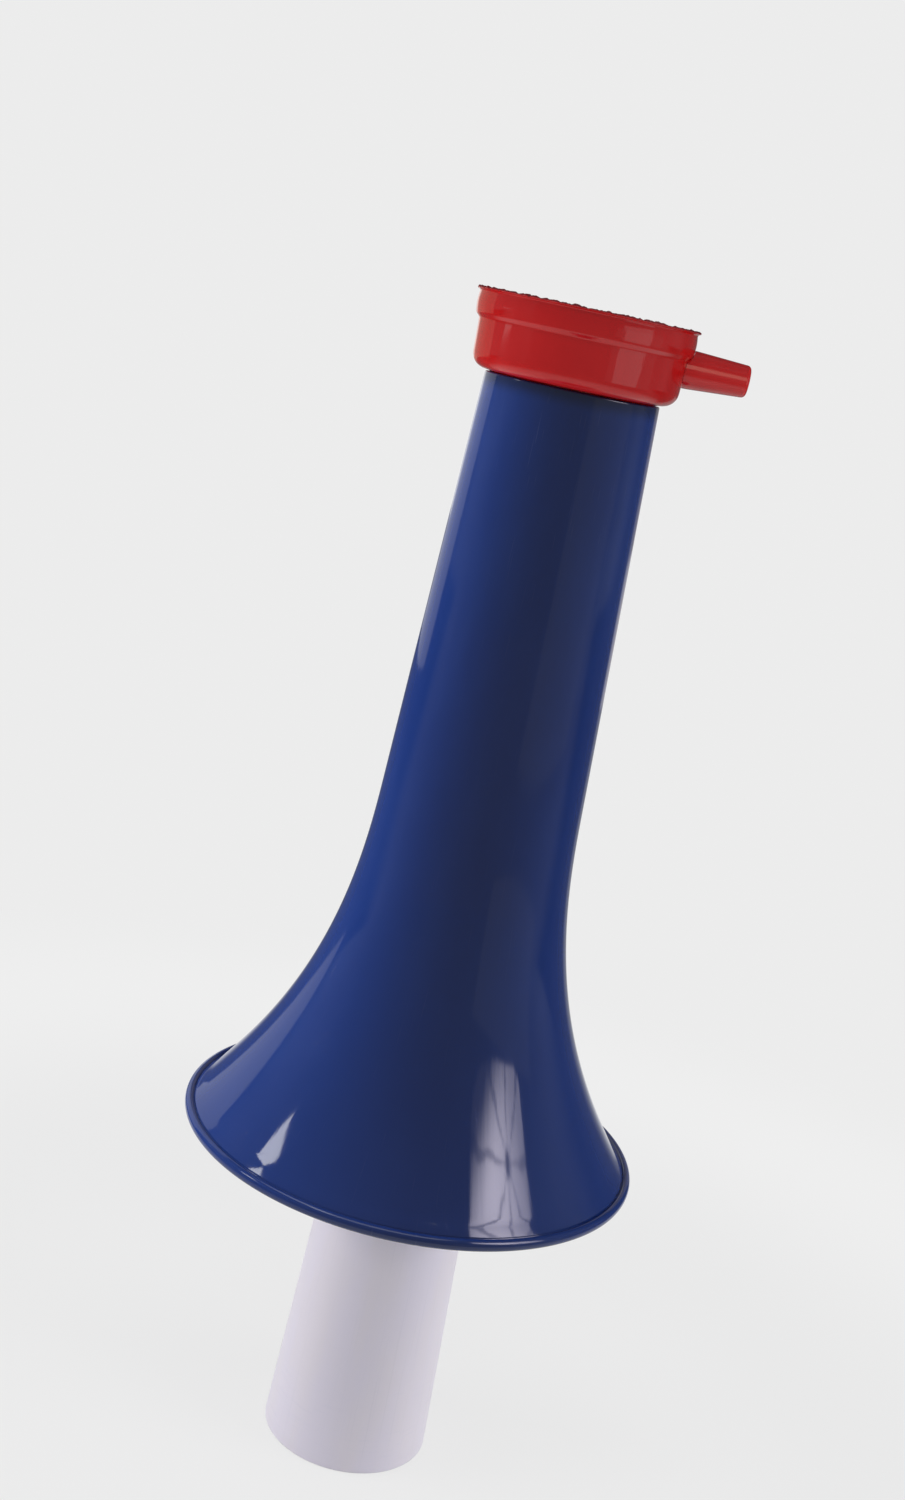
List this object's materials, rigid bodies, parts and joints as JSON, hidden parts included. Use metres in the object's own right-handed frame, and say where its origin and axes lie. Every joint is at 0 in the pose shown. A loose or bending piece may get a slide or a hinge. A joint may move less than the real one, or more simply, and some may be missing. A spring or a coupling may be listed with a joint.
{
  "type": "telescopic horn",
  "caption": "Telescopic plastic horn: a red reed head with a side mouthpiece on a white conical tube, and a blue flared horn that slides down the tube and locks on its wide end.",
  "frame": {"origin": "centre of the tube's lower end, on its axis", "axes": "+Z along the tube towards the head, +X along the mouthpiece away from the head"},
  "size_m": [0.136, 0.136, 0.3484],
  "materials": {
    "red_plastic": "smooth glossy moulded plastic",
    "blue_plastic": "glossy moulded plastic with fine scratches",
    "white_plastic": "satin moulded plastic",
    "clear_film": "thin clear film"
  },
  "bodies": {
    "head_and_tube": {"head_cup": "red_plastic", "mouthpiece": "red_plastic", "retaining_ring": "red_plastic", "diaphragm": "clear_film", "tube": "white_plastic"},
    "horn": {"horn": "blue_plastic"}
  },
  "joints": [
    {"name": "horn_slide", "type": "slide", "parent": "horn", "child": "head_and_tube", "axis": [0, 0, 1], "range_m": [0, 0.2679]}
  ]
}
